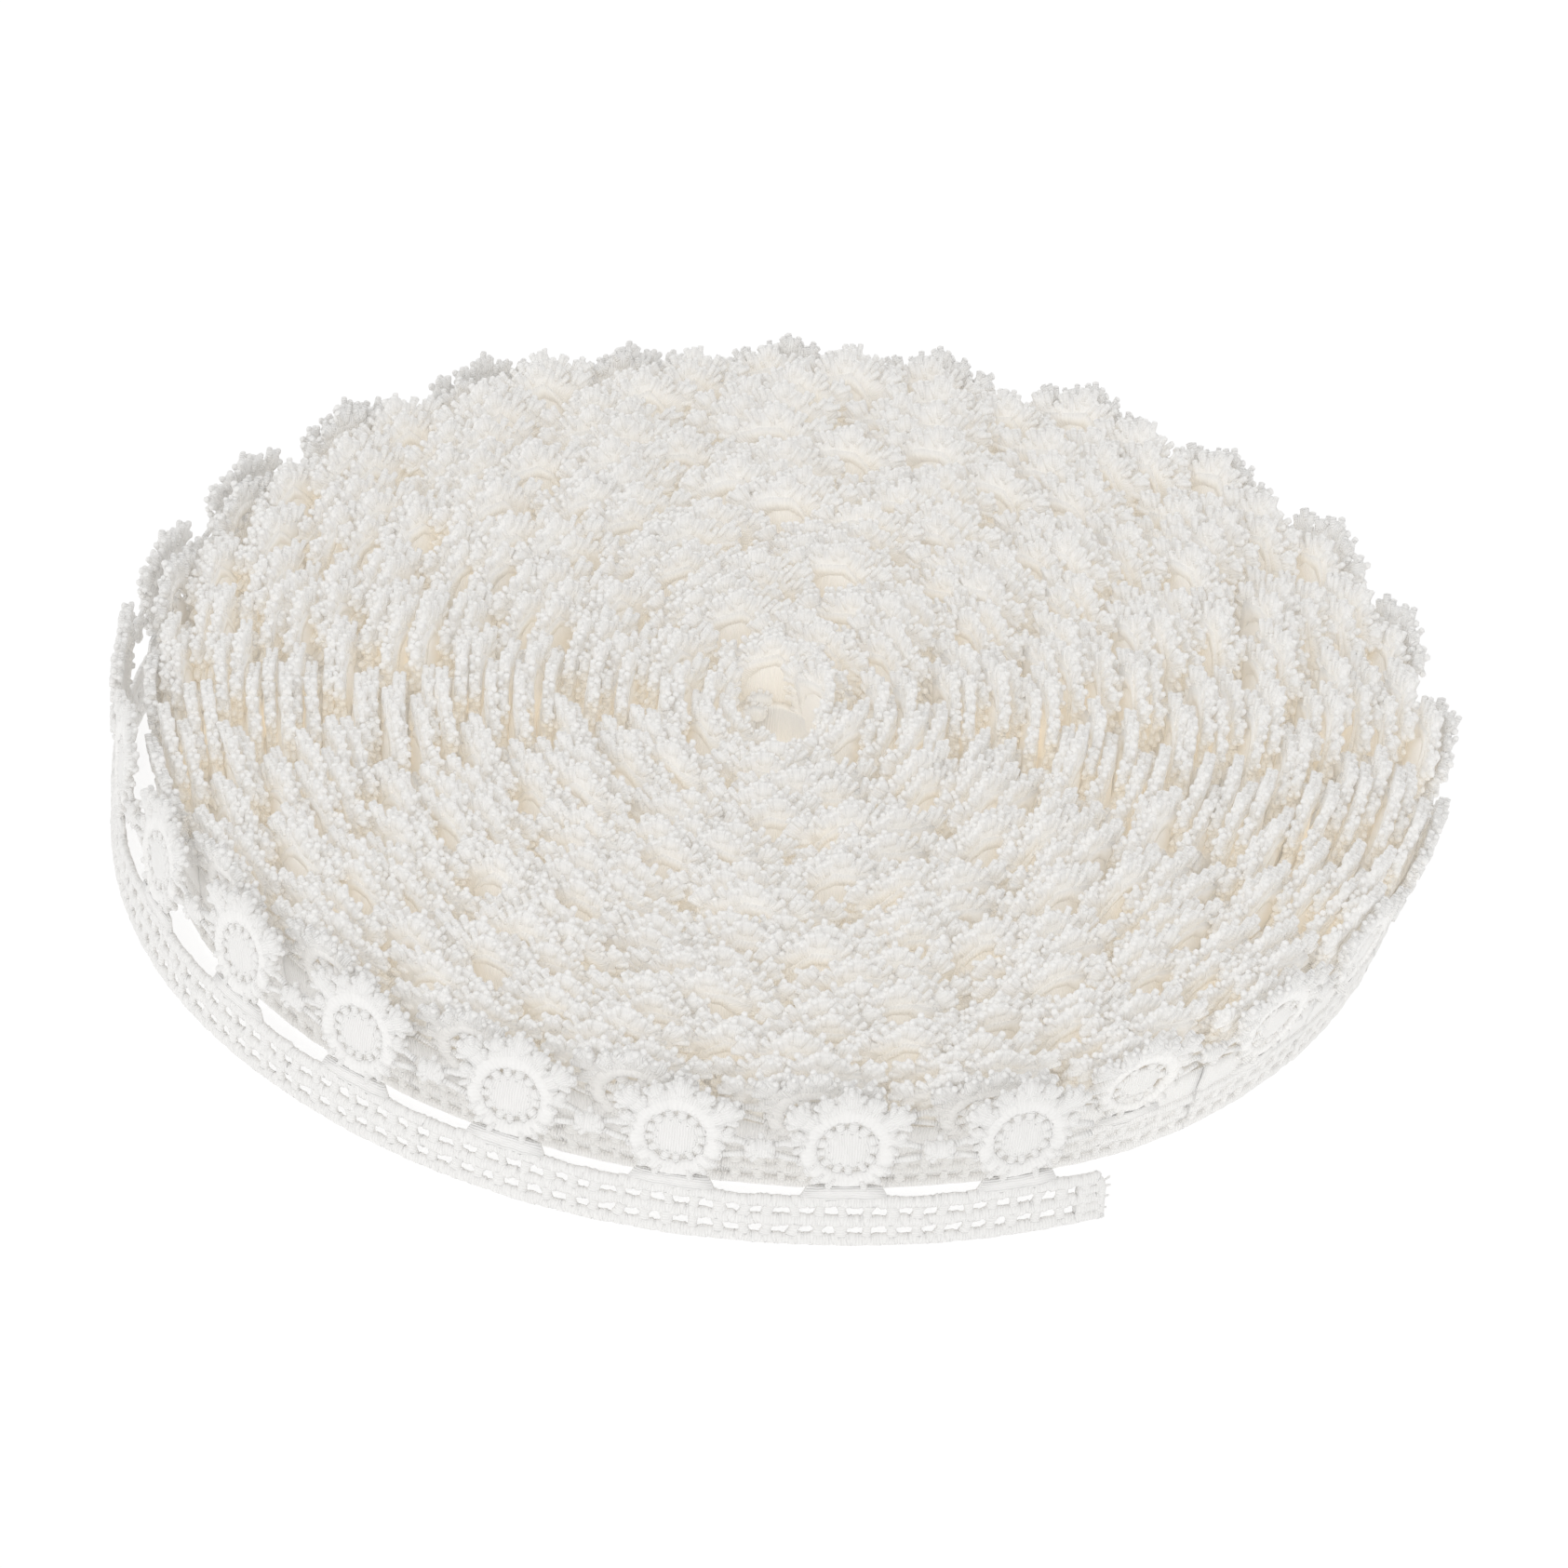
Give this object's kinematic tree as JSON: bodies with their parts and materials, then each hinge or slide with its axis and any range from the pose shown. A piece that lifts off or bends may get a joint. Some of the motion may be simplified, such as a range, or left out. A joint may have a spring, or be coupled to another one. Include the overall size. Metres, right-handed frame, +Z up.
{
  "type": "roll of lace trim",
  "caption": "Flat-coiled roll of scalloped guipure lace trim standing on its ladder heading, with the outermost turn loose and its cut end free.",
  "frame": {"origin": "centre of the roll's round outline, on the plane that it stands on", "axes": "+Z up along the winding's axis, -Y towards the side where the loose turn and its cut end show, +X to the right of it"},
  "size_m": [0.135, 0.1357, 0.0183],
  "materials": {
    "wound_lace": "white embroidery thread with a soft satin sheen, cream in the depths",
    "loose_lace": "white embroidery thread with a soft satin sheen"
  },
  "bodies": {
    "root": {"wound_roll": "wound_lace", "loose_turn": "loose_lace"}
  },
  "joints": []
}
